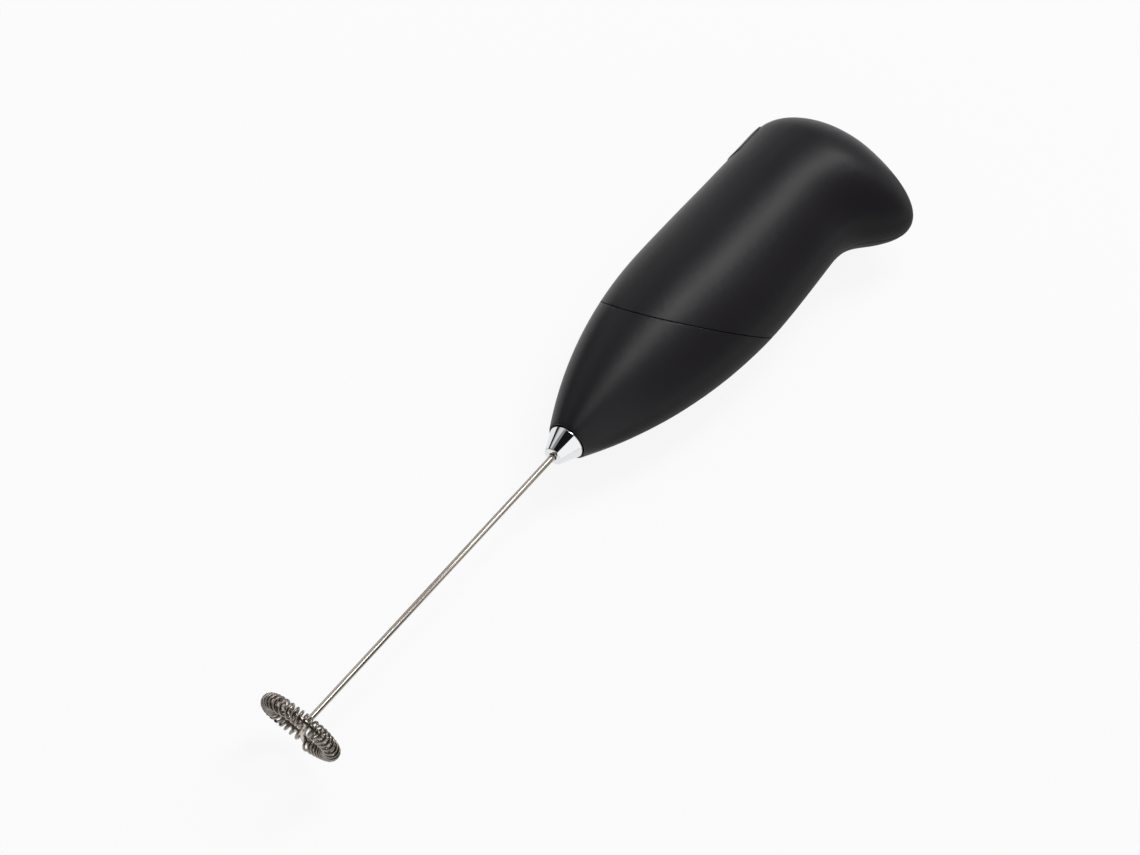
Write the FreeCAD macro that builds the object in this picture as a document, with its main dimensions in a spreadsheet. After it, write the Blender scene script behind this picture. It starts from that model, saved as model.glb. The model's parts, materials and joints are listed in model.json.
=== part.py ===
"""Hand-held battery milk frother, built as a parametric document.

Axis frame used for modelling: X runs along the spin axis, towards the head of the handle,
with zero at the rim of the mouth. +Y is the spine, -Y the belly and its beak, +Z the side of
the battery cover. Every sub-part is then placed so that the frother lies on its rear shell,
with the origin under the middle of its box.
"""
import math
import os
import re

import FreeCAD
import Part
import Sketcher

from FreeCAD import Matrix, Placement, Rotation, Vector

# ---------------------------------------------------------------- driving sizes, millimetres
SIZES = {
    # handle, outside
    "handle_length": 108.8,
    "mouth_radius": 5.15,
    "spine_play": 2.0,
    "belly_play_share": 0.352,
    "depth_play": 5.8,
    "spine_taper": 0.7,
    "belly_taper": 1.4,
    "spine_full_at": 49.5,
    "belly_full_at": 58.0,
    "beak_reach": 24.8,
    "spine_round_long": 14.8,
    "beak_flare_long": 22.8,
    "beak_round_long": 6.8,
    "depth_round_long": 13.8,
    "crown_drop": 5.7,
    "crown_flat": 0.12,
    "depth_full_at": 56.0,
    "wall": 1.5,
    "mouth_bore": 4.7,
    "mouth_land": 5.5,
    "seam_gap": 0.16,
    "seam_at": 44.6,
    "seam_side_slope": 0.654,
    "seam_front_slope": 0.749,
    # fits
    "loose_gap": 0.3,
    "close_gap": 0.15,
    "shaft_gap": 0.03,
    # nose cone and its bush
    "cone_base": 4.6,
    "cone_tip": 2.5,
    "cone_reach": 5.7,
    "cone_wall": 0.7,
    "cone_hole": 0.95,
    "cone_land": 0.485,
    "cone_end_wall": 0.9,
    "cone_flange": 4.95,
    "cone_flange_thick": 1.0,
    "bush_start": 3.6,
    "bush_long": 3.2,
    "bush_play": 0.1,
    # motor
    "can_radius": 7.75,
    "can_flat": 6.05,
    "can_long": 16.0,
    "can_wall": 0.7,
    "boss_radius": 2.7,
    "boss_long": 1.5,
    "cap_long": 2.0,
    "cap_boss_long": 0.8,
    "cap_play": 0.1,
    "bearing_radius": 2.0,
    "bearing_long": 2.0,
    "axle_radius": 1.0,
    "magnet_thick": 1.85,
    "magnet_long": 11.0,
    "magnet_half_width": 4.6,
    "magnet_inset": 2.5,
    "magnet_split": 0.5,
    "air_gap": 0.5,
    "core_rim": 0.9,
    "core_long": 8.5,
    "core_hub": 1.9,
    "core_inset": 3.8,
    "slot_width": 3.4,
    "slot_mouth": 1.0,
    "winding_overhang": 0.5,
    "commutator_radius": 1.6,
    "commutator_long": 2.3,
    "commutator_inset": 0.8,
    "brush_thick": 0.25,
    "brush_width": 1.5,
    "brush_gap": 0.12,
    "tab_reach": 1.4,
    "tab_offset": 4.0,
    "sleeve_thick": 0.7,
    "sleeve_long": 10.5,
    "sleeve_inset": 3.0,
    "sleeve_gap": 0.05,
    "rib_thick": 1.2,
    "rib_inset": 0.6,
    # drive
    "coupling_radius": 2.5,
    "coupling_start": 2.4,
    "coupling_long": 8.0,
    "coupling_clear": 1.1,
    "joint_at": 5.4,
    "rod_radius": 0.75,
    # whisk
    "whisk_at": 103.1,
    "ring_radius": 9.08,
    "ring_lean": 20.5,
    "coil_radius": 2.125,
    "coil_wire": 0.6,
    "coil_sweep": 345.0,
    "coil_first": 7.0,
    "bend_radius": 2.0,
    "turn_radius": 1.2,
    # batteries, size AA
    "cell_radius": 7.1,
    "cell_long": 50.5,
    "nub_radius": 2.75,
    "nub_long": 1.0,
    "cell_shift": 0.3,
    "cell_gap": 0.1,
    "cell_shoulder": 0.8,
    "cell_edge": 0.5,
    # contacts and tray
    "plate_thick": 0.4,
    "plate_play": 0.2,
    "bump_long": 0.6,
    "bump_radius": 1.85,
    "spring_long": 3.3,
    "bridge_wide": 23.0,
    "contact_wide": 9.0,
    "contact_tall": 8.0,
    "spring_wire": 0.5,
    "spring_coil": 2.6,
    "spring_turns": 3.0,
    "tray_top": 4.5,
    "end_wall": 0.8,
    "end_wall_rise": 1.0,
    "lead_radius": 0.6,
    "lead_gap": 0.1,
    "lane_half": 1.6,
    "pocket_half": 3.7,
    "lead_depth": 5.0,
    "post_radius": 2.3,
    "post_side": 10.3,
    "post_back": 4.4,
    "ear_thick": 1.2,
    "ear_level": 2.4,
    "screw_radius": 1.0,
    "screw_head": 2.0,
    "screw_head_thick": 1.0,
    "screw_bite": 3.5,
    "screw_spare": 1.0,
    "screw_point": 1.0,
    "screw_round": 0.35,
    # power button and switch
    "button_long": 12.0,
    "button_wide": 6.4,
    "button_travel": 1.0,
    "button_rise": 0.25,
    "flange_lip": 1.0,
    "flange_thick": 0.6,
    "neck_step": 1.0,
    "plunger_radius": 1.2,
    "disc_radius": 2.2,
    "disc_thick": 0.3,
    "disc_level": 12.6,
    "switch_long": 7.0,
    "switch_clear": 0.4,
    "button_offset": 2.8,
    "switch_half_width": 3.6,
    "switch_floor": 8.6,
    "switch_base": 7.4,
    "switch_rim": 12.0,
    "switch_wall": 0.8,
    "blade_long": 2.0,
    "blade_wide": 1.1,
    "blade_outer": 2.75,
    "blade_drop": 1.4,
    "return_coil": 1.2,
    "return_wire": 0.3,
    "return_turns": 5.0,
}

# Sizes that follow from the ones above, as formulas in their names.
DERIVED = {
    # the handle is as wide as two cells side by side, and as deep as one, with play and a wall
    "spine_reach": "2 * cell_radius + cell_gap / 2 - cell_shift + spine_play + wall",
    "belly_play": "belly_play_share * cell_radius",
    "belly_reach": "2 * cell_radius + cell_gap / 2 + cell_shift + belly_play + wall",
    "half_depth": "cell_radius + depth_play + wall",
    "spine_waist": "spine_reach - spine_taper",
    "belly_waist": "belly_reach - belly_taper",
    "spine_waist_at": "handle_length - spine_round_long",
    "belly_waist_at": "handle_length - beak_flare_long",
    "beak_at": "handle_length - beak_round_long",
    "depth_ends_at": "handle_length - depth_round_long",
    # one thing after another along the axis
    "bush_radius": "cone_tip - bush_play",
    "motor_start": "coupling_start + coupling_long + coupling_clear + boss_long",
    "can_end": "motor_start + can_long",
    "cap_end": "can_end + cap_long + cap_boss_long",
    "core_radius": "can_radius - can_wall - magnet_thick - air_gap",
    "tray_start": "can_end + cap_long + tab_reach + plate_play",
    "plate_at": "tray_start + end_wall",
    "plus_cell_at": "plate_at + plate_thick + bump_long",
    "minus_cell_at": "plate_at + plate_thick + spring_long",
    "bridge_at": "plus_cell_at + cell_long + spring_long",
    "tray_end": "bridge_at + plate_thick + plate_play + end_wall",
    "switch_start": "tray_end + switch_clear",
    "plunger_at": "switch_start + switch_long / 2",
    "button_at": "plunger_at - button_offset",
    "screw_long": "screw_head_thick + ear_thick + screw_bite",
}

doc = FreeCAD.newDocument("milk_frother")
sheet = doc.addObject("Spreadsheet::Sheet", "sizes")
for row, (alias, number) in enumerate(SIZES.items(), start=1):
    sheet.set(f"A{row}", alias)
    sheet.set(f"B{row}", str(number))
    sheet.setAlias(f"B{row}", alias)
derived = doc.addObject("App::VarSet", "derived")


def full_name(word):
    """A size's name with the object that holds it; any other word stays as it is."""
    if word in SIZES:
        return "sizes." + word
    return "derived." + word if word in DERIVED else word


def bind(thing, prop, formula):
    """Ties a property to a formula written in the names of the sizes."""
    thing.setExpression(prop, re.sub(r"[a-z_]+", lambda found: full_name(found[0]), formula))


for name, formula in DERIVED.items():
    derived.addProperty("App::PropertyFloat", name)
    bind(derived, name, formula)
doc.recompute()


def size(name):
    """The present value of one size, for code that builds a shape directly."""
    return float(sheet.get(name) if name in SIZES else getattr(derived, name))


# The row frame's origin is under the middle of the frother's box.
ring_tip = "(whisk_at + ring_radius * sin(ring_lean * 1deg) + coil_radius)"
ROW_X = f"({ring_tip} - handle_length) / 2"
ROW_Y = "(beak_reach - spine_reach) / 2"
ROW_Z = "half_depth"

finished = []


def finish(thing, label, along="0", across="0", up="0"):
    """Names a sub-part and places it in the row frame, offset from the axis frame's zero."""
    thing.Label = label
    bind(thing, "Placement.Base.x", f"{ROW_X} + ({along})")
    bind(thing, "Placement.Base.y", f"{ROW_Y} + ({across})")
    bind(thing, "Placement.Base.z", f"{ROW_Z} + ({up})")
    finished.append(thing)
    return thing


# ---------------------------------------------------------------- small modelling helpers
def block(name, x, y, z, long, wide, tall):
    """A box with its low corner at x, y, z; every argument is a formula."""
    box = doc.addObject("Part::Box", name)
    for prop, formula in (("Length", long), ("Width", wide), ("Height", tall)):
        bind(box, prop, formula)
    for axis, formula in (("x", x), ("y", y), ("z", z)):
        bind(box, f"Placement.Base.{axis}", formula)
    return box


TURN = {"X": Rotation(Vector(0, 1, 0), 90), "Y": Rotation(Vector(1, 0, 0), -90), "Z": Rotation()}


def rod(name, axis, x, y, z, radius, long):
    """A cylinder along a row axis, from its low end at x, y, z."""
    pin = doc.addObject("Part::Cylinder", name)
    bind(pin, "Radius", radius)
    bind(pin, "Height", long)
    pin.Placement = Placement(Vector(), TURN[axis])
    for letter, formula in (("x", x), ("y", y), ("z", z)):
        bind(pin, f"Placement.Base.{letter}", formula)
    return pin


def fuse(name, *parts):
    joined = doc.addObject("Part::MultiFuse", name)
    joined.Shapes = list(parts)
    return joined


def cut(name, base, *tools):
    left = doc.addObject("Part::Cut", name)
    left.Base = base
    left.Tool = tools[0] if len(tools) == 1 else fuse(name + "_tools", *tools)
    return left


def common(name, *parts):
    shared = doc.addObject("Part::MultiCommon", name)
    shared.Shapes = list(parts)
    return shared


def group(name, *parts):
    together = doc.addObject("Part::Compound", name)
    together.Links = list(parts)
    return together


def shape(name, solid):
    """A helper or sub-part whose outline no primitive or sketch feature gives."""
    feature = doc.addObject("Part::Feature", name)
    feature.Shape = solid
    return feature


def turned(name, profile):
    """A Body revolved about X from a closed profile of (distance along, radius) formulas."""
    body = doc.addObject("PartDesign::Body", name)
    sketch = body.newObject("Sketcher::SketchObject", name + "_profile")
    planes = {plane.Role: plane for plane in body.Origin.OriginFeatures}
    sketch.AttachmentSupport = [(planes["XY_Plane"], "")]
    sketch.MapMode = "FlatFace"
    count = len(profile)
    guesses = [Vector(i + 1, 1 + i % 2, 0) for i in range(count)]
    for i in range(count):
        sketch.addGeometry(Part.LineSegment(guesses[i], guesses[(i + 1) % count]), False)
    for i in range(count):
        sketch.addConstraint(Sketcher.Constraint("Coincident", i, 2, (i + 1) % count, 1))
    for i, (along, radius) in enumerate(profile):
        for kind, formula in (("DistanceX", along), ("DistanceY", radius)):
            index = sketch.addConstraint(Sketcher.Constraint(kind, -1, 1, i, 1, 1.0))
            bind(sketch, f"Constraints[{index}]", formula)
    turn = body.newObject("PartDesign::Revolution", name + "_turn")
    turn.Profile = sketch
    turn.ReferenceAxis = (sketch, ["H_Axis"])
    turn.Angle = 360.0
    return body


def tube(name, inner, outer, long):
    return turned(name, [("0", inner), (long, inner), (long, outer), ("0", outer)])


def bar(name, radius, long):
    return turned(name, [("0", "0"), (long, "0"), (long, radius), ("0", radius)])


# ---------------------------------------------------------------- form of the handle
def ease(first, last, share):
    """Smooth step from first to last."""
    share = min(max(share, 0.0), 1.0)
    return first + (last - first) * share * share * (3 - 2 * share)


def nose_arc(x, full_at, full, mouth):
    """Ogive: an arc from the mouth's radius that is tangent to the barrel at full_at."""
    drop = full - mouth
    radius = (full_at**2 + drop**2) / (2 * drop)
    back = max(full_at - x, 0.0)
    return full - radius + math.sqrt(radius**2 - back**2)


def crown(x, start, end, power):
    """Rounded end: one at start, falling to zero at end along a superellipse."""
    share = min(max((x - start) / (end - start), 0.0), 1.0)
    return (1 - share**power) ** (1 / power)


SPINE_POWER, BEAK_POWER, DEPTH_POWER = 2.0, 2.5, 2.3
MOUTH_INSET = 1.1


def section(x, inset, end):
    """Centre, spine reach, belly reach and half depth of the handle's egg-shaped section."""
    mouth = size("mouth_radius") - MOUTH_INSET * inset
    centre = -ease(0, size("crown_drop"), (x - size("belly_waist_at")) / (end - size("belly_waist_at")))
    if x <= size("spine_full_at"):
        spine = nose_arc(x, size("spine_full_at"), size("spine_reach") - inset, mouth)
    else:
        span = size("spine_waist_at") - size("spine_full_at")
        share = (x - size("spine_full_at")) / span
        spine = ease(size("spine_reach"), size("spine_waist"), share) - inset
    spine = (spine - centre) * crown(x, size("spine_waist_at"), end, SPINE_POWER)
    if x <= size("belly_full_at"):
        belly = nose_arc(x, size("belly_full_at"), size("belly_reach") - inset, mouth)
    elif x <= size("belly_waist_at"):
        span = size("belly_waist_at") - size("belly_full_at")
        share = (x - size("belly_full_at")) / span
        belly = ease(size("belly_reach"), size("belly_waist"), share) - inset
    else:
        span = size("beak_at") - size("belly_waist_at")
        share = (x - size("belly_waist_at")) / span
        belly = ease(size("belly_waist"), size("beak_reach"), share) - inset
    belly = (belly + centre) * crown(x, size("beak_at"), end, BEAK_POWER)
    if x < size("depth_full_at"):
        depth = nose_arc(x, size("depth_full_at"), size("half_depth") - inset, mouth)
    else:
        depth = size("half_depth") - inset
    depth *= crown(x, size("depth_ends_at"), end, DEPTH_POWER)
    return centre, spine, belly, depth


NOSE_STATIONS, BARREL_STATIONS, HEAD_STATIONS = 7, 4, 9


def handle_form(name, inset, start):
    """The handle's outside drawn in by inset, as one smooth solid from start to the crown."""
    last = size("handle_length") - inset
    end = last + size("crown_flat")
    nose_end = size("spine_full_at")
    barrel_end = size("belly_waist_at")
    stations = [start + (nose_end - start) * i / NOSE_STATIONS for i in range(NOSE_STATIONS + 1)]
    for i in range(1, BARREL_STATIONS + 1):
        stations.append(nose_end + (barrel_end - nose_end) * i / BARREL_STATIONS)
    for i in range(1, HEAD_STATIONS + 1):
        stations.append(barrel_end + (last - barrel_end) * math.sin(math.pi / 2 * i / HEAD_STATIONS))
    wires = []
    for x in stations:
        centre, spine, belly, depth = section(x, inset, end)
        halves = []
        for side, reach in ((1, spine), (-1, belly)):
            half = Part.Arc(Vector(0, 0, -side), Vector(0, side, 0), Vector(0, 0, side)).toShape()
            stretch = Matrix()
            stretch.scale(1, reach, depth)
            move = Matrix()
            move.move(Vector(x, centre, 0))
            halves.append(half.transformGeometry(stretch).transformGeometry(move).Edges[0])
        wires.append(Part.Wire(halves))
    return shape(name, Part.makeLoft(wires, True, False))


outer_form = handle_form("outer_form", 0.0, 0.0)
inner_form = handle_form("inner_form", size("wall"), size("mouth_land"))
rib_form = handle_form("rib_form", size("wall") / 2, size("mouth_land"))
lining_form = handle_form("lining_form", size("wall") + size("close_gap"), size("mouth_land"))
button_form = handle_form("button_form", -size("button_rise"), 0.0)
flange_form = handle_form("flange_form", size("wall") + size("close_gap"), size("mouth_land"))
flange_floor = handle_form(
    "flange_floor", size("wall") + size("close_gap") + size("flange_thick"), size("mouth_land")
)

LONG, WIDE = "2 * handle_length", "4 * beak_reach"


def half_space(name, x, z, long, tall):
    return block(name, x, f"-{WIDE} / 2", z, long, WIDE, tall)


def behind_seam(name, shift):
    """The space on the head's side of the slanted seam, moved along its normal by shift."""
    normal = Vector(1, size("seam_side_slope"), size("seam_front_slope")).normalize()
    reach = size("handle_length")
    turn = Rotation(Vector(1, 0, 0), normal)
    start = Vector(size("seam_at"), 0, 0) + normal * shift
    box = Part.makeBox(2 * reach, 2 * reach, 2 * reach, Vector(0, -reach, -reach))
    box.Placement = Placement(start, turn)
    return shape(name, box)




def flat_rod(name, start, radius, flat, long):
    """A cylinder along X with flats above and below, as a small motor's can has."""
    return common(
        name,
        rod(name + "_round", "X", start, "0", "0", radius, long),
        block(
            name + "_flats", start, f"-({radius})", f"-({flat})",
            long, f"2 * ({radius})", f"2 * ({flat})",
        ),
    )


# Cutters run a millimetre or so past what they cut.
mouth_hole = rod("mouth_hole", "X", "-1", "0", "0", "mouth_bore", "mouth_land + 2")
can_room = flat_rod(
    "can_room", "motor_start - loose_gap", "can_radius + close_gap", "can_flat + close_gap",
    "can_long + cap_long + 2 * loose_gap",
)
shell_form = cut("shell_form", outer_form, inner_form, mouth_hole, can_room)


def oval_prism(name, long, wide, low, high):
    """A stadium along X, standing on the spine, from low to high along Y."""
    mid = block(
        name + "_mid", f"button_at - ({long}) / 2 + ({wide}) / 2", low, f"-({wide}) / 2",
        f"({long}) - ({wide})", f"({high}) - ({low})", wide,
    )
    ends = [
        rod(
            f"{name}_end_{i}", "Y", f"button_at + {side} * (({long}) - ({wide})) / 2", low, "0",
            f"({wide}) / 2", f"({high}) - ({low})",
        )
        for i, side in enumerate(("-1", "1"))
    ]
    return fuse(name, mid, *ends)


button_hole = oval_prism(
    "button_hole", "button_long + 2 * close_gap", "button_wide + 2 * close_gap",
    "spine_waist / 2", "spine_reach + wall",
)

# ---------------------------------------------------------------- ribs that hold the motor
sleeve_radius = "can_radius + sleeve_thick"
sleeve_start = "motor_start + sleeve_inset"
sleeve_space = flat_rod(
    "sleeve_space", f"{sleeve_start} - 1", f"{sleeve_radius} + close_gap",
    "can_flat + sleeve_thick + close_gap", "sleeve_long + 2",
)
RIB_OFFSETS = (
    "rib_inset", "sleeve_long / 2 - rib_thick / 2", "sleeve_long - rib_thick - rib_inset",
)
rib_slabs = [
    half_space(f"rib_slab_{i}", f"{sleeve_start} + {offset}", "-half_depth", "rib_thick", "2 * half_depth")
    for i, offset in enumerate(RIB_OFFSETS)
]
motor_ribs = cut("motor_ribs", common("rib_blanks", rib_form, fuse("rib_slabs", *rib_slabs)), sleeve_space)

# Screw posts stand on the rear wall; the tray's ears sit on them.
POSTS = (
    ("tray_start - post_back", "post_side"),
    ("tray_start - post_back", "-post_side"),
    ("tray_end + post_back", "1 - post_side"),
)
post_blanks = [
    rod(f"post_{i}", "Z", x, y, "-half_depth", "post_radius", "half_depth - ear_level")
    for i, (x, y) in enumerate(POSTS)
]
post_holes = [
    rod(f"post_hole_{i}", "Z", x, y, "-ear_level - screw_bite - screw_spare",
        "screw_radius", "screw_bite + screw_spare + 1")
    for i, (x, y) in enumerate(POSTS)
]
posts = common("posts", rib_form, fuse("post_blanks", *post_blanks))

lower_half = half_space("lower_half", "-cone_reach", "-2 * half_depth", LONG, "2 * half_depth")
upper_half = half_space("upper_half", "-cone_reach", "0", LONG, "2 * half_depth")
cover_half = half_space("cover_half", "-cone_reach", "seam_gap", LONG, "2 * half_depth")
seam_near = behind_seam("seam_near", -size("seam_gap") / 2)
seam_far = behind_seam("seam_far", size("seam_gap") / 2)

rear_wall = common("rear_wall", shell_form, lower_half)
rear_ribs = common("rear_ribs", motor_ribs, lower_half)
rear_solid = fuse("rear_solid", rear_wall, rear_ribs, posts)
finish(cut("rear_shell", rear_solid, button_hole, *post_holes), "rear_shell")

front_wall = cut("front_wall", common("front_skin", shell_form, upper_half), seam_near)
front_ribs = cut("front_ribs", common("front_rib_skin", motor_ribs, upper_half), seam_near)
finish(fuse("front_shell", front_wall, front_ribs), "front_shell")

cover_skin = common("cover_skin", shell_form, cover_half, seam_far)
finish(cut("battery_cover", cover_skin, button_hole), "battery_cover")

# ---------------------------------------------------------------- nose
cone_back = "cone_reach + mouth_land + close_gap"
finish(
    turned("nose_cone", [
        ("0", "cone_hole"),
        ("0", "cone_tip"),
        ("cone_reach - cone_land", "cone_base"),
        (cone_back, "cone_base"),
        (cone_back, "cone_flange"),
        (f"{cone_back} + cone_flange_thick", "cone_flange"),
        (f"{cone_back} + cone_flange_thick", "cone_base - cone_wall"),
        ("cone_reach - cone_land", "cone_base - cone_wall"),
        ("cone_end_wall", "cone_tip - cone_wall / 2"),
        ("cone_end_wall", "cone_hole"),
    ]),
    "nose_cone", "-cone_reach",
)
shaft_bush = tube("shaft_bush", "rod_radius + shaft_gap", "bush_radius", "bush_long")
finish(shaft_bush, "shaft_bush", "-bush_start")

# ---------------------------------------------------------------- motor, fixed parts
can_outside = flat_rod("can_outside", "motor_start", "can_radius", "can_flat", "can_long")
can_boss = rod("can_boss", "X", "motor_start - boss_long", "0", "0", "boss_radius", "boss_long + can_wall")
can_inside = flat_rod(
    "can_inside", "motor_start + can_wall", "can_radius - can_wall", "can_flat - can_wall", "can_long",
)
can_bore = rod(
    "can_bore", "X", "motor_start - boss_long - 1", "0", "0", "bearing_radius", "boss_long + can_wall + 2",
)
finish(cut("motor_can", fuse("can_solid", can_outside, can_boss), can_inside, can_bore), "motor_can")

finish(
    tube("front_bearing", "axle_radius + shaft_gap", "bearing_radius", "bearing_long"),
    "front_bearing", "motor_start - boss_long",
)

cap_plate = flat_rod("cap_plate", "can_end", "can_radius - cap_play", "can_flat - cap_play", "cap_long")
cap_boss = rod("cap_boss", "X", "can_end", "0", "0", "boss_radius + loose_gap", "cap_long + cap_boss_long")
cap_bore = rod("cap_bore", "X", "cap_end - bearing_long", "0", "0", "bearing_radius", "bearing_long + 1")
cap_hole = rod("cap_hole", "X", "can_end - 1", "0", "0", "axle_radius + loose_gap", "cap_long + 3")
tab_slots = [
    block(
        f"tab_slot_{i}", "can_end - 1", f"{side} * tab_offset - brush_thick / 2", "-brush_width / 2",
        "cap_long + 3", "brush_thick", "brush_width",
    )
    for i, side in enumerate(("1", "-1"))
]
finish(
    cut("motor_end_cap", fuse("cap_solid", cap_plate, cap_boss), cap_bore, cap_hole, *tab_slots),
    "motor_end_cap",
)
finish(
    tube("rear_bearing", "axle_radius + shaft_gap", "bearing_radius", "bearing_long"),
    "rear_bearing", "cap_end - bearing_long",
)

magnet_start = "motor_start + magnet_inset"
magnet_rings = cut(
    "magnet_ring",
    rod("magnet_outside", "X", magnet_start, "0", "0", "can_radius - can_wall", "magnet_long"),
    rod(
        "magnet_inside", "X", f"{magnet_start} - 1", "0", "0",
        "can_radius - can_wall - magnet_thick", "magnet_long + 2",
    ),
)
magnets = [
    common(
        f"magnet_{i}", magnet_rings,
        block(
            f"magnet_window_{i}", magnet_start, y, "-magnet_half_width",
            "magnet_long", "2 * can_radius", "2 * magnet_half_width",
        ),
    )
    for i, y in enumerate(("magnet_split", "-2 * can_radius - magnet_split"))
]
finish(group("motor_magnets", *magnets), "motor_magnets")

brush_line = "commutator_radius + brush_gap"
commutator_start = "can_end - commutator_long - commutator_inset"
terminals = []
for i, side in enumerate((1, -1)):
    arm_y = f"{brush_line}" if side > 0 else f"-({brush_line}) - brush_thick"
    foot_y = f"{brush_line}" if side > 0 else "-tab_offset - brush_thick / 2"
    terminals.append(fuse(
        f"terminal_{i}",
        block(f"brush_arm_{i}", commutator_start, arm_y, "-brush_width / 2",
              f"can_end - ({commutator_start})", "brush_thick", "brush_width"),
        block(f"brush_foot_{i}", "can_end - brush_thick", foot_y, "-brush_width / 2",
              "brush_thick", f"tab_offset + brush_thick / 2 - ({brush_line})", "brush_width"),
        block(f"brush_tab_{i}", "can_end - brush_thick",
              f"{side} * tab_offset - brush_thick / 2", "-brush_width / 2",
              "cap_long + brush_thick + tab_reach", "brush_thick", "brush_width"),
    ))
finish(group("motor_terminals", *terminals), "motor_terminals")

sleeve_outside = flat_rod(
    "sleeve_outside", sleeve_start, sleeve_radius, "can_flat + sleeve_thick", "sleeve_long",
)
sleeve_inside = flat_rod(
    "sleeve_inside", f"{sleeve_start} - 1", "can_radius + sleeve_gap", "can_flat + sleeve_gap",
    "sleeve_long + 2",
)
finish(cut("motor_sleeve", sleeve_outside, sleeve_inside), "motor_sleeve")

# ---------------------------------------------------------------- motor, turning parts
core_start = "motor_start + core_inset"
core_round = cut(
    "core_round",
    rod("core_blank", "X", core_start, "0", "0", "core_radius", "core_long"),
    rod("core_bore", "X", f"{core_start} - 1", "0", "0", "axle_radius", "core_long + 2"),
)


def around(name, make, count=3):
    """Copies of one block turned about the spin axis."""
    copies = []
    for i in range(count):
        piece = make(f"{name}_{i}")
        piece.Placement = Placement(Vector(), Rotation(Vector(1, 0, 0), 360 * i / count))
        copies.append(piece)
    return copies


def slot_cutter(name):
    """A winding slot: a wide pocket under a narrow mouth, lying along +Y."""
    pocket = block(
        name + "_pocket", f"{core_start} - 1", "core_hub", "-slot_width / 2",
        "core_long + 2", "core_radius - core_hub - core_rim", "slot_width",
    )
    mouth = block(
        name + "_mouth", f"{core_start} - 1", "core_hub", "-slot_mouth / 2",
        "core_long + 2", "core_radius", "slot_mouth",
    )
    return fuse(name, pocket, mouth)


finish(cut("rotor_core", core_round, *around("slot", slot_cutter)), "rotor_core")


def winding_pack(name):
    return block(
        name + "_pack", f"{core_start} - winding_overhang", "core_hub + close_gap",
        "-slot_width / 2 + close_gap", "core_long + 2 * winding_overhang",
        "core_radius - core_hub - core_rim - 2 * close_gap", "slot_width - 2 * close_gap",
    )


def wound(name):
    """One slot's share of the winding, as its own object so that it can be turned."""
    return fuse(name, winding_pack(name), rod(
        name + "_crown", "X", f"{core_start} - winding_overhang",
        "(core_radius + core_hub - core_rim) / 2", "0",
        "(core_radius - core_hub - core_rim) / 2 - close_gap", "core_long + 2 * winding_overhang",
    ))


finish(group("rotor_windings", *around("winding", wound)), "rotor_windings")
finish(
    tube("commutator", "axle_radius", "commutator_radius", "commutator_long"),
    "commutator", commutator_start,
)
finish(bar("motor_shaft", "axle_radius", "cap_end - joint_at - 0.2"), "motor_shaft", "joint_at + 0.1")
finish(
    turned("coupling_sleeve", [
        ("0", "rod_radius"),
        ("joint_at - coupling_start", "rod_radius"),
        ("joint_at - coupling_start", "axle_radius"),
        ("coupling_long", "axle_radius"),
        ("coupling_long", "coupling_radius"),
        ("0", "coupling_radius"),
    ]),
    "coupling_sleeve", "coupling_start",
)

# ---------------------------------------------------------------- whisk
lean = math.radians(size("ring_lean"))
ring_middle = Vector(-size("whisk_at"), 0, 0)
spoke = Vector(math.sin(lean), 0, -math.cos(lean))
sideways = Vector(0, -1, 0)


def on_ring(degrees, radius):
    """A point of the ring's plane, turned from the spoke towards the belly."""
    turn = math.radians(degrees)
    return ring_middle + spoke * (radius * math.cos(turn)) + sideways * (radius * math.sin(turn))


def whisk_path():
    """Straight rod, bend to the spoke, turn into the ring, and once round."""
    ring = size("ring_radius")
    bend = size("bend_radius")
    turn = size("turn_radius")
    start = Vector(size("joint_at"), 0, 0)
    reach = bend * math.tan((math.pi / 2 + lean) / 2)
    bend_start = ring_middle + Vector(reach, 0, 0)
    bend_end = ring_middle + spoke * reach
    toward = (Vector(1, 0, 0) + spoke).normalize()
    bend_centre = ring_middle + toward * math.hypot(reach, bend)
    bend_middle = bend_centre - toward * bend
    rise = math.sqrt((ring - turn) ** 2 - turn**2)
    turn_start = ring_middle + spoke * rise
    turn_centre = turn_start + sideways * turn
    meet = math.atan2(turn, rise)
    turn_end = on_ring(math.degrees(meet), ring)
    halfway = ((turn_start - turn_centre) + (turn_end - turn_centre)).normalize()
    last = size("coil_first") + size("coil_sweep") - 1
    middle = (math.degrees(meet) + last) / 2
    edges = [
        Part.LineSegment(start, bend_start).toShape(),
        Part.Arc(bend_start, bend_middle, bend_end).toShape(),
        Part.LineSegment(bend_end, turn_start).toShape(),
        Part.Arc(turn_start, turn_centre + halfway * turn, turn_end).toShape(),
        Part.Arc(turn_end, on_ring(middle, ring), on_ring(last, ring)).toShape(),
    ]
    return Part.Wire(edges)


def swept(path, radius):
    """A round wire along a path of runs and tangent arcs."""
    first = path.Edges[0]
    begin = first.FirstParameter
    ring = Part.makeCircle(radius, first.valueAt(begin), first.tangentAt(begin))
    return path.makePipeShell([Part.Wire([ring])], True, False)


finish(shape("whisk_wire", swept(whisk_path(), size("rod_radius"))), "whisk_wire")

coil_turn = Rotation(spoke, sideways, spoke.cross(sideways), "XYZ")


def torus(name, tube_radius):
    ring = doc.addObject("Part::Torus", name)
    bind(ring, "Radius1", "ring_radius")
    bind(ring, "Radius2", tube_radius)
    bind(ring, "Angle3", "coil_sweep")
    first = Rotation(Vector(0, 0, 1), size("coil_first"))
    ring.Placement = Placement(ring_middle, coil_turn * first)
    return ring


whisk_coil = cut(
    "whisk_coil", torus("coil_outside", "coil_radius"), torus("coil_inside", "coil_radius - coil_wire"),
)
finish(whisk_coil, "whisk_coil")

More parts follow.
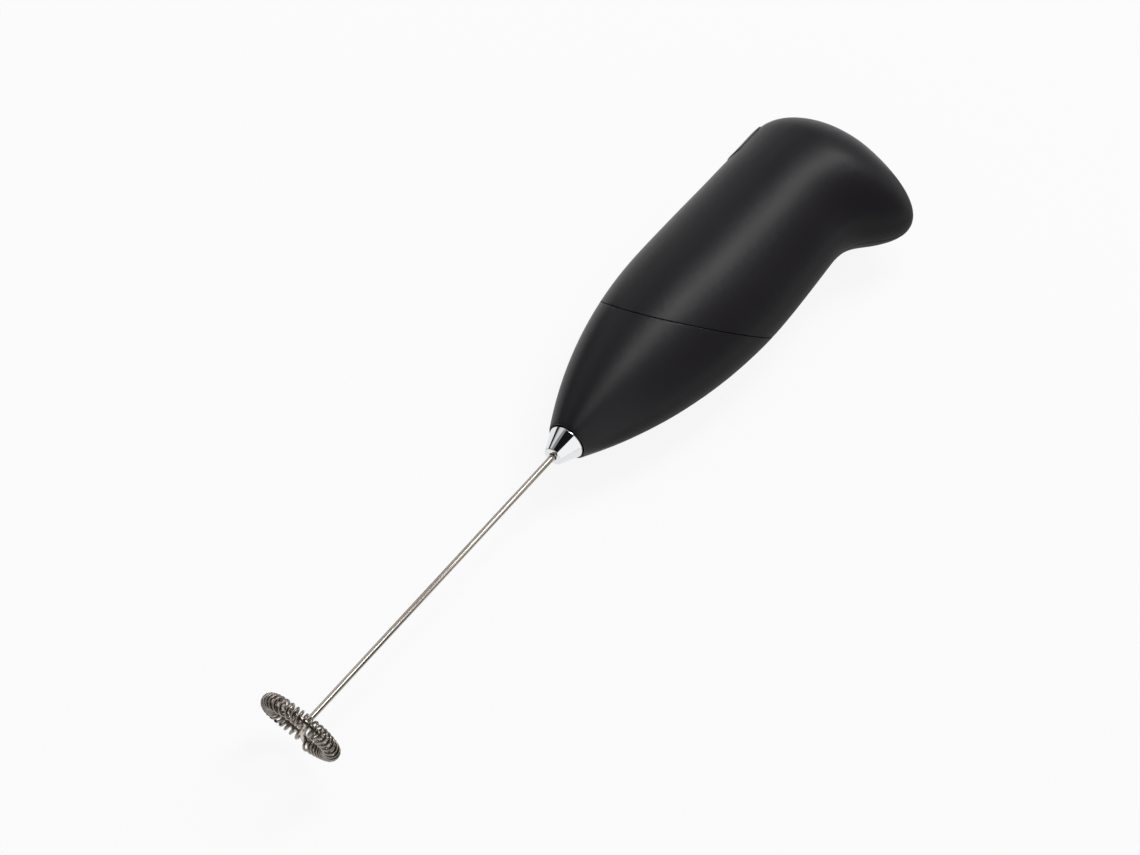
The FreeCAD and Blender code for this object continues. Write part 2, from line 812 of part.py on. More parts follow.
# ---------------------------------------------------------------- batteries
CELL_PROFILE = [
    ("0", "0"),
    ("cell_long", "0"),
    ("cell_long", "nub_radius"),
    ("cell_long - nub_long", "nub_radius"),
    ("cell_long - nub_long", "cell_radius - cell_shoulder"),
    ("cell_long - nub_long - cell_shoulder", "cell_radius"),
    ("cell_edge", "cell_radius"),
    ("0", "cell_radius - cell_edge"),
]
belly_cell_y = "-cell_shift - cell_gap / 2 - cell_radius"
spine_cell_y = "-cell_shift + cell_gap / 2 + cell_radius"
belly_cell = turned("battery_belly", CELL_PROFILE)
finish(belly_cell, "battery_belly", "plus_cell_at + cell_long", belly_cell_y)
belly_cell.Placement = Placement(belly_cell.Placement.Base, Rotation(Vector(0, 0, 1), 180))
finish(turned("battery_spine", CELL_PROFILE), "battery_spine", "minus_cell_at", spine_cell_y)

# ---------------------------------------------------------------- tray
tray_blank = common(
    "tray_blank", lining_form,
    half_space(
        "tray_saddle", "tray_start", "-half_depth", "tray_end - tray_start", "half_depth - tray_top",
    ),
)
end_walls = [
    common(
        f"end_wall_{i}", lining_form,
        half_space(
            f"end_wall_block_{i}", x, "-half_depth", "end_wall", "half_depth + tray_top + end_wall_rise",
        ),
    )
    for i, x in enumerate(("tray_start", "tray_end - end_wall"))
]
troughs = [
    rod(
        f"trough_{i}", "X", "tray_start + end_wall", y, "0", "cell_radius + close_gap",
        "tray_end - tray_start - 2 * end_wall",
    )
    for i, y in enumerate((belly_cell_y, spine_cell_y))
]
lane_floor = "-lead_depth - 4 * lead_radius"
lead_lane = block(
    "lead_lane", "tray_start - 1", "-cell_shift - lane_half", lane_floor,
    "tray_end - tray_start + 2", "2 * lane_half", "half_depth",
)
lead_pocket = block(
    "lead_pocket", "tray_start + end_wall", "-cell_shift - pocket_half", lane_floor,
    "plus_cell_at + 2 * nub_long - tray_start", "2 * pocket_half", "half_depth",
)
button_room = block(
    "button_room", "tray_end - 2 * end_wall", "switch_rim", "-button_wide",
    "4 * end_wall", "spine_reach", "2 * button_wide",
)
ears = [
    rod(f"ear_{i}", "Z", x, y, "-ear_level", "post_radius", "ear_thick") for i, (x, y) in enumerate(POSTS)
]
ear_arms = [
    block(f"ear_arm_{i}", start, f"({y}) - post_radius", "-ear_level",
          "post_back + end_wall / 2", "2 * post_radius", "ear_thick")
    for i, (start, (x, y)) in enumerate(zip(
        (POSTS[0][0], POSTS[1][0], "tray_end - end_wall / 2"), POSTS
    ))
]
ear_holes = [
    rod(f"ear_hole_{i}", "Z", x, y, "-ear_level - 1", "screw_radius", "ear_thick + 2")
    for i, (x, y) in enumerate(POSTS)
]
tray_ears = common("tray_ears", lining_form, fuse("ear_blanks", *ears, *ear_arms))
tray_solid = fuse("tray_solid", tray_blank, *end_walls)
tray_bulk = cut("tray_bulk", tray_solid, *troughs, lead_lane, lead_pocket, button_room)
finish(cut("battery_tray", fuse("tray_with_ears", tray_bulk, tray_ears), *ear_holes), "battery_tray")


def screw(name):
    return turned(name, [
        ("0", "0"),
        ("screw_long", "0"),
        ("screw_long", "screw_radius / 2"),
        ("screw_long - screw_point", "screw_radius"),
        ("screw_head_thick", "screw_radius"),
        ("screw_head_thick", "screw_head"),
        ("screw_round", "screw_head"),
        ("0", "screw_head - screw_round"),
    ])


tray_screws = []
for i, (x, y) in enumerate(POSTS):
    one = screw(f"screw_{i}")
    one.Placement = Placement(Vector(), Rotation(Vector(0, 1, 0), 90))
    bind(one, "Placement.Base.x", x)
    bind(one, "Placement.Base.y", y)
    bind(one, "Placement.Base.z", "-ear_level + ear_thick + screw_head_thick")
    tray_screws.append(one)
finish(group("tray_screws", *tray_screws), "tray_screws")

# ---------------------------------------------------------------- battery contacts
BUMP = "plus_cell_at - plate_at - plate_thick"


def plate(name, x, y, wide, tall):
    return block(name, x, f"({y}) - ({wide}) / 2", f"-({tall}) / 2", "plate_thick", wide, tall)


plus_bump = rod("plus_bump", "X", "plate_at + plate_thick", belly_cell_y, "0", "bump_radius", BUMP)
plus_plate = plate("plus_plate", "plate_at", belly_cell_y, "contact_wide", "contact_tall")
finish(fuse("positive_contact", plus_plate, plus_bump), "positive_contact")
finish(
    plate("negative_contact", "plate_at", spine_cell_y, "contact_wide", "contact_tall"),
    "negative_contact", "plate_at", f"({spine_cell_y}) - contact_wide / 2", "-contact_tall / 2",
)
bridge_bump = rod(
    "bridge_bump", "X", "minus_cell_at + cell_long", spine_cell_y, "0", "bump_radius",
    "bridge_at - minus_cell_at - cell_long",
)
bridge_plate = plate("bridge_plate", "bridge_at", "-cell_shift", "bridge_wide", "contact_tall")
finish(fuse("bridge_contact", bridge_plate, bridge_bump), "bridge_contact")


POINTS_PER_TURN = 12


def coil_spring(coil, wire, turns, long):
    """An open coil spring standing on Z, with its end coils inside its length."""
    rise = long - 2 * wire
    count = round(turns * POINTS_PER_TURN)
    points = []
    for i in range(count + 1):
        turn = 2 * math.pi * turns * i / count
        points.append(Vector(coil * math.cos(turn), coil * math.sin(turn), wire + rise * i / count))
    helix = Part.BSplineCurve()
    helix.interpolate(points)
    path = helix.toShape()
    ring = Part.makeCircle(wire, points[0], path.tangentAt(path.FirstParameter))
    return Part.Wire([path]).makePipeShell([Part.Wire([ring])], True, True)


battery_springs = []
for low, high, side in (
    (size("plate_at") + size("plate_thick"), size("minus_cell_at"), 1),
    (size("plus_cell_at") + size("cell_long"), size("bridge_at"), -1),
):
    spring = coil_spring(size("spring_coil"), size("spring_wire") / 2, size("spring_turns"), high - low)
    cell_line = side * (size("cell_radius") + size("cell_gap") / 2) - size("cell_shift")
    spring.Placement = Placement(Vector(low, cell_line, 0), TURN["X"])
    battery_springs.append(spring)
finish(shape("battery_springs", Part.Compound(battery_springs)), "battery_springs")

# ---------------------------------------------------------------- power button and switch
button_skin = cut("button_skin", common("button_slice", button_form, oval_prism(
    "button_stem", "button_long", "button_wide", "spine_waist / 2", "spine_reach + wall")), inner_form)
cell_room = block(
    "cell_room", "button_at - button_long", "0", "-button_wide",
    "minus_cell_at + cell_long - nub_long + loose_gap - button_at + button_long",
    "spine_reach", "2 * button_wide",
)
button_flange = cut("button_flange", common("flange_slice", flange_form, oval_prism(
    "flange_stem", "button_long + 2 * flange_lip", "button_wide + 2 * flange_lip",
    "spine_waist / 2", "spine_reach")), flange_floor, cell_room)
neck = oval_prism(
    "button_neck_stem", "button_long - neck_step", "button_wide - neck_step",
    "spine_waist / 2", "spine_reach",
)
button_neck = cut("button_neck", common("neck_slice", rib_form, neck), flange_floor, cell_room)
plunger = rod(
    "plunger", "Y", "plunger_at", "disc_level + disc_thick", "0", "plunger_radius",
    "spine_waist - wall - close_gap - flange_thick / 2 - disc_level - disc_thick",
)
finish(fuse("power_button", button_skin, button_neck, button_flange, plunger), "power_button")
finish(
    rod("contact_disc", "Y", "0", "0", "0", "disc_radius", "disc_thick"),
    "contact_disc", "plunger_at", "disc_level",
)

switch_box = block(
    "switch_box", "switch_start", "switch_base", "-switch_half_width",
    "switch_long", "switch_rim - switch_base", "2 * switch_half_width",
)
switch_well = block(
    "switch_well", "switch_start + switch_wall", "switch_floor", "-switch_half_width + switch_wall",
    "switch_long - 2 * switch_wall", "switch_rim", "2 * (switch_half_width - switch_wall)",
)
blade_level = "disc_level - button_travel - 2 * close_gap - disc_thick"
blade_start = "plunger_at - blade_long / 2"
blades = [
    fuse(
        f"blade_{i}",
        block(f"blade_top_{i}", blade_start, blade_level, near, "blade_long", "disc_thick", "blade_wide"),
        block(f"blade_leg_{i}", blade_start, "switch_base - blade_drop", leg, "blade_long",
              f"{blade_level} - switch_base + blade_drop + disc_thick", "disc_thick"),
    )
    for i, (near, leg) in enumerate((
        ("blade_outer - blade_wide", "blade_outer - disc_thick"),
        ("-blade_outer", "-blade_outer"),
    ))
]
blade_slots = [
    block(f"blade_slot_{i}", blade_start, "switch_base - 1", z, "blade_long", "switch_rim", "disc_thick")
    for i, z in enumerate(("blade_outer - disc_thick", "-blade_outer"))
]
finish(cut("switch_housing", switch_box, switch_well, *blade_slots), "switch_housing")
finish(group("switch_blades", *blades), "switch_blades")
return_spring = coil_spring(
    size("return_coil"), size("return_wire") / 2, size("return_turns"),
    size("disc_level") - size("switch_floor"),
)
return_spring.Placement = Placement(Vector(), TURN["Y"])
finish(shape("button_spring", return_spring), "button_spring", "plunger_at", "switch_floor")


# ---------------------------------------------------------------- leads
def route(points):
    """Straight runs joined by arcs as large as the runs allow."""
    edges = []
    here = points[0]
    for i in range(1, len(points) - 1):
        before = points[i] - points[i - 1]
        after = points[i + 1] - points[i]
        turn = before.getAngle(after)
        setback = 0.45 * min(before.Length, after.Length)
        radius = setback / math.tan(turn / 2)
        near = points[i] - before.normalize() * setback
        far = points[i] + after.normalize() * setback
        inward = (near + far) / 2 - points[i]
        middle = points[i] + inward.normalize() * (radius / math.cos(turn / 2) - radius)
        edges.append(Part.LineSegment(here, near).toShape())
        edges.append(Part.Arc(near, middle, far).toShape())
        here = far
    edges.append(Part.LineSegment(here, points[-1]).toShape())
    return Part.Wire(edges)


lane_y = -size("cell_shift")
top_lane = -size("lead_depth")
low_lane = top_lane - 2 * size("lead_radius") - size("lead_gap")
cell_y = size("cell_radius") + size("cell_gap") / 2
plate_face = size("plate_at") + size("plate_thick") + size("lead_radius")
tray_end = size("tray_end")
plunger_x = size("plunger_at")
blade_foot = size("switch_base") - size("blade_drop")
blade_z = size("blade_outer") - size("disc_thick") / 2
tab_y = size("tab_offset")
tab_x = size("tray_start") - size("lead_radius") - 0.25
tab_edge = size("brush_width") / 2 + size("lead_radius")
# The points that each lead passes, chosen clear of the cells, the ears and the switch.
LEADS = {
    "red_lead": [
        Vector(plate_face, -cell_y + 3.6, -3.6),
        Vector(plate_face + 0.3, lane_y - 1.0, top_lane),
        Vector(plate_face + 4.0, lane_y, top_lane),
        Vector(tray_end - 5.0, lane_y, top_lane + 0.01),
        Vector(tray_end + 2.4, lane_y + 0.2, top_lane + 0.2),
        Vector(plunger_x, 2.4, -blade_z),
        Vector(plunger_x, blade_foot, -blade_z),
    ],
    "white_lead": [
        Vector(tab_x, tab_y, -tab_edge),
        Vector(tab_x, 1.2, low_lane + 0.4),
        Vector(plate_face - 0.4, lane_y + 0.1, low_lane),
        Vector(plate_face + 4.0, lane_y, low_lane - 0.01),
        Vector(tray_end - 5.0, lane_y, low_lane),
        Vector(tray_end + 4.9, lane_y - 0.1, low_lane + 0.1),
        Vector(tray_end + 6.9, lane_y + 0.1, -1.5),
        Vector(plunger_x, 1.8, blade_z),
        Vector(plunger_x, blade_foot, blade_z),
    ],
    "black_lead": [
        Vector(tab_x, -tab_y, tab_edge),
        Vector(tab_x, 1.4 - tab_y, 6.6),
        Vector(tab_x + 0.9, 2.2, 7.2),
        Vector(plate_face, cell_y - 1.5, 6.9),
        Vector(plate_face, cell_y - size("cell_shift"), 3.3),
    ],
}
for name, points in LEADS.items():
    finish(shape(name, swept(route(points), size("lead_radius"))), name)

# ---------------------------------------------------------------- check and write
doc.recompute()
for thing in doc.Objects:
    if {"Invalid", "Error"} & set(thing.State):
        raise RuntimeError(f"{thing.Label} failed: {thing.State}")
for thing in finished:
    if thing.Shape.isNull() or not thing.Shape.isValid():
        raise RuntimeError(f"{thing.Label} has no valid shape")
os.makedirs("parts", exist_ok=True)
for thing in finished:
    thing.Shape.exportStep(f"parts/{thing.Label}.step")
    print(f"{thing.Label}: {len(thing.Shape.Solids)} solid, {thing.Shape.Volume:.1f} mm3")
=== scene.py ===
"""Looks of a hand-held battery milk frother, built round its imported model."""
import json
import math

import bpy
from mathutils import Matrix, Vector

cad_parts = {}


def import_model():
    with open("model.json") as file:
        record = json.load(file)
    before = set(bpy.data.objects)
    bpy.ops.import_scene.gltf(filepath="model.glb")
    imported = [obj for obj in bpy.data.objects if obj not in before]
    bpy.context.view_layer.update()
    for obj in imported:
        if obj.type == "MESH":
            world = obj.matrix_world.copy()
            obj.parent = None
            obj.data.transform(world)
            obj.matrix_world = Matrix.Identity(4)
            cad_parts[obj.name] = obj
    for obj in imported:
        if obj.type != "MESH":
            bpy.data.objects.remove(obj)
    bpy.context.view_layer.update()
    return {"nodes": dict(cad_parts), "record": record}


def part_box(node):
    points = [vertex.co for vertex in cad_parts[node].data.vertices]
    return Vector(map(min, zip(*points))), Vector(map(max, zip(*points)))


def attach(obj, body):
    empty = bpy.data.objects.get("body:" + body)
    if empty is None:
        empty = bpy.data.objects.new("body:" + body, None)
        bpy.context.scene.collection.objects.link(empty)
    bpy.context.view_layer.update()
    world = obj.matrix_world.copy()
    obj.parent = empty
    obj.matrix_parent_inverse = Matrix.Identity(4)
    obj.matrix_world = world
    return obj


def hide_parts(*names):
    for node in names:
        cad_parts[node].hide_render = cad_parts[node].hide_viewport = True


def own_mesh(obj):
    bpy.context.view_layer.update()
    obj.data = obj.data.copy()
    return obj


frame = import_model()
nodes = frame["nodes"]
MM = 0.001


# ---------------------------------------------------------------- small helpers
def linear(code):
    """An sRGB hex colour as linear red, green, blue and alpha."""
    parts = [int(code[i:i + 2], 16) / 255 for i in (1, 3, 5)]
    return [c / 12.92 if c <= 0.04045 else ((c + 0.055) / 1.055) ** 2.4 for c in parts] + [1.0]


def add(tree, kind, settings=None, links=None):
    """Adds one node, with its settings or input values, and links its inputs."""
    made = tree.nodes.new(kind)
    for name, value in (settings or {}).items():
        if isinstance(name, int) or name in made.inputs:
            made.inputs[name].default_value = value
        else:
            setattr(made, name, value)
    for name, socket in (links or {}).items():
        tree.links.new(socket, made.inputs[name])
    return made


def new_material(name):
    """An empty material and its node tree."""
    material = bpy.data.materials.new(name)
    material.use_nodes = True
    material.node_tree.nodes.clear()
    return material, material.node_tree


# ---------------------------------------------------------------- where the mouth is
# Places are given from the middle of the mouth, in millimetres: x runs along the spin axis
# towards the head, y to the spine, z to the battery cover.
MOUTH = next(
    Vector(joint["pos_m"]) for joint in frame["record"]["behaviour"]["joints"]
    if joint["name"] == "whisk_spin"
)


def place(x, y, z):
    """A point given from the mouth, in the frame that all pieces share, in metres."""
    return MOUTH + Vector((x, y, z)) * MM


# ---------------------------------------------------------------- materials
# A noise texture's scale is how many grains fit in a metre, so 1000 divided by it is the width
# of one grain in millimetres.
WAVE_PERIOD = 0.314       # metres from band to band of a wave texture whose scale is 1


def satin_black_abs():
    """ABS housing, moulded black in a spark-eroded mould: satin, with a fine even grain that
    breaks the highlight softly, and slightly glossier clouds where hands have polished it."""
    material, tree = new_material("abs_black_spark_eroded")
    here = add(tree, "ShaderNodeTexCoord").outputs["Object"]
    # grain of the eroded mould, 0.3 mm wide, drawn a little coarser than real to show
    grain = add(tree, "ShaderNodeTexNoise", {"Scale": 3300.0, "Detail": 3.0}, {"Vector": here})
    # polished clouds about 14 mm across
    clouds = add(tree, "ShaderNodeTexNoise", {"Scale": 70.0, "Detail": 4.0}, {"Vector": here})
    rough = add(tree, "ShaderNodeMapRange", {"To Min": 0.37, "To Max": 0.44},
                {"Value": clouds.outputs["Fac"]})
    tint = add(tree, "ShaderNodeMix",
               {"data_type": "RGBA", 6: linear("#130f14"), 7: linear("#1a161b")},
               {"Factor": clouds.outputs["Fac"]})
    bump = add(tree, "ShaderNodeBump", {"Strength": 0.25, "Distance": 0.00002},
               {"Height": grain.outputs["Fac"]})
    shader = add(tree, "ShaderNodeBsdfPrincipled", {"Metallic": 0.0, "IOR": 1.36}, {
        "Base Color": tint.outputs[2], "Roughness": rough.outputs[0], "Normal": bump.outputs[0],
    })
    add(tree, "ShaderNodeOutputMaterial", links={"Surface": shader.outputs[0]})
    return material


def chrome_plate():
    """Bright chromium plated on moulded ABS: a mirror with the slightest ripple."""
    material, tree = new_material("chrome_plated_abs")
    here = add(tree, "ShaderNodeTexCoord").outputs["Object"]
    # ripple of the moulding under the plate, 2 mm wide
    ripple = add(tree, "ShaderNodeTexNoise", {"Scale": 500.0, "Detail": 1.0}, {"Vector": here})
    bump = add(tree, "ShaderNodeBump", {"Strength": 0.15, "Distance": 0.00002},
               {"Height": ripple.outputs["Fac"]})
    shader = add(tree, "ShaderNodeBsdfPrincipled",
                 {"Base Color": linear("#e6e7e8"), "Metallic": 1.0, "Roughness": 0.05},
                 {"Normal": bump.outputs[0]})
    add(tree, "ShaderNodeOutputMaterial", links={"Surface": shader.outputs[0]})
    return material


def drawn_wire(name, color, roughness, depth):
    """Drawn stainless spring wire: bright, with fine lines from the die along the rod, which
    break its highlight, and a fine fleck on the coil."""
    material, tree = new_material(name)
    here = add(tree, "ShaderNodeTexCoord").outputs["Object"]
    # lines 0.11 mm apart and 3 mm long along the spin axis
    along = add(tree, "ShaderNodeMapping", {"Scale": (300.0, 9000.0, 9000.0)}, {"Vector": here})
    lines = add(tree, "ShaderNodeTexNoise", {"Scale": 1.0, "Detail": 2.0},
                {"Vector": along.outputs[0]})
    bump = add(tree, "ShaderNodeBump", {"Strength": depth, "Distance": 0.00001},
               {"Height": lines.outputs["Fac"]})
    shader = add(tree, "ShaderNodeBsdfPrincipled",
                 {"Base Color": linear(color), "Metallic": 1.0, "Roughness": roughness},
                 {"Normal": bump.outputs[0]})
    add(tree, "ShaderNodeOutputMaterial", links={"Surface": shader.outputs[0]})
    return material


def moulded_plastic(name, color, roughness, shine=1.46):
    """A plastic or rubber part, moulded, extruded or turned: even colour right through, with the
    fine grain of its tool and faint clouds that vary its gloss."""
    material, tree = new_material(name)
    here = add(tree, "ShaderNodeTexCoord").outputs["Object"]
    # grain 0.3 mm wide, and clouds about 8 mm across
    grain = add(tree, "ShaderNodeTexNoise", {"Scale": 3300.0, "Detail": 2.0}, {"Vector": here})
    clouds = add(tree, "ShaderNodeTexNoise", {"Scale": 125.0, "Detail": 3.0}, {"Vector": here})
    rough = add(tree, "ShaderNodeMapRange",
                {"To Min": roughness - 0.05, "To Max": roughness + 0.06},
                {"Value": clouds.outputs["Fac"]})
    bump = add(tree, "ShaderNodeBump", {"Strength": 0.2, "Distance": 0.00002},
               {"Height": grain.outputs["Fac"]})
    shader = add(tree, "ShaderNodeBsdfPrincipled",
                 {"Base Color": linear(color), "Metallic": 0.0, "IOR": shine},
                 {"Roughness": rough.outputs[0], "Normal": bump.outputs[0]})
    add(tree, "ShaderNodeOutputMaterial", links={"Surface": shader.outputs[0]})
    return material


def rolled_sheet(name, color, roughness):
    """Sheet metal, rolled, stamped and plated: fine rolling lines along the strip and a few
    duller handling marks."""
    material, tree = new_material(name)
    here = add(tree, "ShaderNodeTexCoord").outputs["Object"]
    # rolling lines 0.15 mm apart, drawn out along the handle, and marks 2.5 mm across
    along = add(tree, "ShaderNodeMapping", {"Scale": (250.0, 6500.0, 6500.0)}, {"Vector": here})
    lines = add(tree, "ShaderNodeTexNoise", {"Scale": 1.0, "Detail": 2.0},
                {"Vector": along.outputs[0]})
    marks = add(tree, "ShaderNodeTexNoise", {"Scale": 400.0, "Detail": 3.0}, {"Vector": here})
    rough = add(tree, "ShaderNodeMapRange",
                {"To Min": roughness - 0.08, "To Max": roughness + 0.12},
                {"Value": marks.outputs["Fac"]})
    bump = add(tree, "ShaderNodeBump", {"Strength": 0.12, "Distance": 0.00001},
               {"Height": lines.outputs["Fac"]})
    shader = add(tree, "ShaderNodeBsdfPrincipled",
                 {"Base Color": linear(color), "Metallic": 1.0},
                 {"Roughness": rough.outputs[0], "Normal": bump.outputs[0]})
    add(tree, "ShaderNodeOutputMaterial", links={"Surface": shader.outputs[0]})
    return material


def banded(name, light, dark, spacing, metallic, roughness):
    """A stack or winding: fine parallel bands, as steel laminations or turns of wire show,
    spaced in millimetres."""
    material, tree = new_material(name)
    here = add(tree, "ShaderNodeTexCoord").outputs["Object"]
    bands = add(tree, "ShaderNodeTexWave",
                {"Scale": WAVE_PERIOD / (spacing * MM), "Distortion": 0.4}, {"Vector": here})
    tint = add(tree, "ShaderNodeMix", {"data_type": "RGBA", 6: linear(dark), 7: linear(light)},
               {"Factor": bands.outputs["Fac"]})
    bump = add(tree, "ShaderNodeBump", {"Strength": 0.5, "Distance": 0.00005},
               {"Height": bands.outputs["Fac"]})
    shader = add(tree, "ShaderNodeBsdfPrincipled",
                 {"Metallic": metallic, "Roughness": roughness},
                 {"Base Color": tint.outputs[2], "Normal": bump.outputs[0]})
    add(tree, "ShaderNodeOutputMaterial", links={"Surface": shader.outputs[0]})
    return material


def sintered(name, color, fleck, metallic, roughness):
    """Pressed and sintered powder: matt, with fine pores and flecks."""
    material, tree = new_material(name)
    here = add(tree, "ShaderNodeTexCoord").outputs["Object"]
    # pores and flecks 0.17 mm across
    pores = add(tree, "ShaderNodeTexNoise", {"Scale": 6000.0, "Detail": 3.0}, {"Vector": here})
    tint = add(tree, "ShaderNodeMix", {"data_type": "RGBA", 6: linear(color), 7: linear(fleck)},
               {"Factor": pores.outputs["Fac"]})
    bump = add(tree, "ShaderNodeBump", {"Strength": 0.4, "Distance": 0.00003},
               {"Height": pores.outputs["Fac"]})
    shader = add(tree, "ShaderNodeBsdfPrincipled",
                 {"Metallic": metallic, "Roughness": roughness},
                 {"Base Color": tint.outputs[2], "Normal": bump.outputs[0]})
    add(tree, "ShaderNodeOutputMaterial", links={"Surface": shader.outputs[0]})
    return material


FILM_FROM_TIP = 1.9       # millimetres of bare steel and nub before the film starts
FILM_FROM_BASE = 0.5
BAND_TO = 13.0            # where the pale band ends, from the tip of the nub


def cell_film(name, node, nub_up):
    """A dry cell: plain shrink film with a pale band near one end, glossy and slightly wavy, that
    stops short of both ends, where the bright steel of the can and its nub show."""
    material, tree = new_material(name)
    here = add(tree, "ShaderNodeTexCoord").outputs["Object"]
    low, high = (corner.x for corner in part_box(node))
    nub, base = (high, low) if nub_up else (low, high)
    into = 1 if base > nub else -1
    length = abs(high - low) / MM
    x = add(tree, "ShaderNodeSeparateXYZ", links={"Vector": here}).outputs["X"]

    def between(start, end):
        """One from start to end, in millimetres from the tip of the nub."""
        a, b = sorted((nub + into * start * MM, nub + into * end * MM))
        above = add(tree, "ShaderNodeMath", {"operation": "GREATER_THAN", 1: a}, {0: x})
        below = add(tree, "ShaderNodeMath", {"operation": "LESS_THAN", 1: b}, {0: x})
        both = add(tree, "ShaderNodeMath", {"operation": "MULTIPLY"},
                   {0: above.outputs[0], 1: below.outputs[0]})
        return both.outputs[0]

    film = between(FILM_FROM_TIP, length - FILM_FROM_BASE)
    band = between(FILM_FROM_TIP, BAND_TO)
    printed = add(tree, "ShaderNodeMix",
                  {"data_type": "RGBA", 6: linear("#27554a"), 7: linear("#c9cbc4")},
                  {"Factor": band})
    tint = add(tree, "ShaderNodeMix", {"data_type": "RGBA", 6: linear("#c4c2bc")},
               {"Factor": film, 7: printed.outputs[2]})
    bare = add(tree, "ShaderNodeMath", {"operation": "SUBTRACT", 0: 1.0}, {1: film})
    # waves of the shrunk film, 5.6 mm long
    waves = add(tree, "ShaderNodeTexNoise", {"Scale": 180.0, "Detail": 1.0}, {"Vector": here})
    bump = add(tree, "ShaderNodeBump", {"Strength": 0.15, "Distance": 0.00005},
               {"Height": waves.outputs["Fac"]})
    shader = add(tree, "ShaderNodeBsdfPrincipled", {"Roughness": 0.24}, {
        "Base Color": tint.outputs[2], "Metallic": bare.outputs[0], "Normal": bump.outputs[0],
    })
    add(tree, "ShaderNodeOutputMaterial", links={"Surface": shader.outputs[0]})
    return material


# ---------------------------------------------------------------- modelling helpers
WIRE_CREASE = math.radians(50)     # edges sharper than this stay sharp in shading
LATHE_CREASE = math.radians(35)
LATHE_MERGE = 1e-6                 # corners nearer than this, in metres, become one
MOULD_CREASE = math.radians(30)
MOULD_MERGE = 2e-6
EASED_ANGLE = math.radians(40)     # edges of a moulding sharper than this are rounded
FACE_WEIGHT = 100                  # wide faces rule the shading round a moulding's edges


def as_piece(obj, name, material, body, replaced):
    """Names a finished piece, paints it, fixes it to its body and puts it for its CAD node."""
    obj.name = name
    obj.data.name = name
    obj.data.materials.clear()
    obj.data.materials.append(material)
    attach(obj, body)
    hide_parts(replaced)
    return obj


def alone(obj=None):
    """Deselects everything, then selects and activates obj."""
    bpy.ops.object.select_all(action="DESELECT")
    if obj is not None:
        obj.select_set(True)
        bpy.context.view_layer.objects.active = obj


def in_scene(name, data):
    """A new object in the scene."""
    obj = bpy.data.objects.new(name, data)
    bpy.context.scene.collection.objects.link(obj)
    return obj


def wire(name, points, radius, roundness):
    """A round wire through points, as a mesh. Roundness says how finely its section is cut."""
    curve = bpy.data.curves.new(name, "CURVE")
    curve.dimensions = "3D"
    curve.bevel_depth = radius
    curve.bevel_resolution = roundness
    curve.use_fill_caps = True
    line = curve.splines.new("POLY")
    line.points.add(len(points) - 1)
    for point, target in zip(line.points, points):
        point.co = (*target, 1.0)
    alone(in_scene(name, curve))
    bpy.ops.object.convert(target="MESH")
    obj = bpy.context.object
    bpy.ops.object.shade_smooth_by_angle(angle=WIRE_CREASE)
    return obj


def lathe(name, profile, sides):
    """A closed turned piece about the spin axis, from (x, radius) stations in millimetres."""
    alone()
    x, radius = profile[0]
    bpy.ops.mesh.primitive_circle_add(
        vertices=sides, radius=radius * MM, location=place(x, 0, 0),
        rotation=(0, math.pi / 2, 0))
    obj = bpy.context.object
    bpy.ops.object.transform_apply(location=True, rotation=True, scale=True)
    bpy.ops.object.mode_set(mode="EDIT")
    bpy.ops.mesh.select_all(action="SELECT")
    for next_x, next_radius in profile[1:]:
        step = ((next_x - x) * MM, 0, 0)
        bpy.ops.mesh.extrude_edges_move(TRANSFORM_OT_translate={"value": step})
        grow = next_radius / radius
        bpy.ops.transform.resize(value=(1, grow, grow), center_override=place(next_x, 0, 0))
        x, radius = next_x, next_radius
    bpy.ops.mesh.select_all(action="SELECT")
    bpy.ops.mesh.remove_doubles(threshold=LATHE_MERGE)
    bpy.ops.mesh.normals_make_consistent(inside=False)
    bpy.ops.object.mode_set(mode="OBJECT")
    bpy.ops.object.shade_smooth_by_angle(angle=LATHE_CREASE)
    obj.name = name
    return obj


def nose_ferrule():
    """Thin chromed cone: collar, straight flank, rounded lip at the rod's hole, then its
    inside. Each pair is a place along the axis and a radius there."""
    collar = [(0.55, 4.3), (0.5, 4.42), (-0.4, 4.54), (-0.5, 4.52), (-0.6, 4.48), (-0.7, 4.44)]
    lip = [(-5.45, 2.46), (-5.56, 2.41), (-5.65, 2.36), (-5.7, 2.24)]
    hole = [(-5.7, 1.12), (-5.64, 1.0), (-5.5, 0.95), (-4.8, 0.95)]
    inside = [(-4.8, 2.1), (-0.5, 3.8), (0.55, 3.8), (0.55, 4.3)]
    return lathe("nose_ferrule", collar + lip + hole + inside, sides=96)


def eased_copy(node, ease):
    """A CAD node's own form with its sharp edges rounded by ease, in millimetres."""
    obj = in_scene(node + "_moulding", nodes[node].data.copy())
    alone(obj)
    bpy.ops.mesh.customdata_custom_splitnormals_clear()
    bpy.ops.object.mode_set(mode="EDIT")
    bpy.ops.mesh.select_all(action="SELECT")
    bpy.ops.mesh.remove_doubles(threshold=MOULD_MERGE)
    bpy.ops.mesh.select_all(action="DESELECT")
    bpy.ops.mesh.select_mode(type="EDGE")
    bpy.ops.mesh.edges_select_sharp(sharpness=EASED_ANGLE)
    bpy.ops.mesh.bevel(offset=ease * MM, segments=2, profile=0.5, clamp_overlap=False)
    bpy.ops.object.mode_set(mode="OBJECT")
    bpy.ops.object.shade_smooth_by_angle(angle=MOULD_CREASE)
    even = obj.modifiers.new("even_shading", "WEIGHTED_NORMAL")
    even.keep_sharp = True
    even.weight = FACE_WEIGHT
    bpy.ops.object.modifier_apply(modifier=even.name)
    return obj


# ---------------------------------------------------------------- button spring
SPRING_WIRE = 0.15        # radius of its wire
SPRING_TURNS = 5
SPRING_STEPS = 16         # points in one turn
SPRING_ROUNDNESS = 2


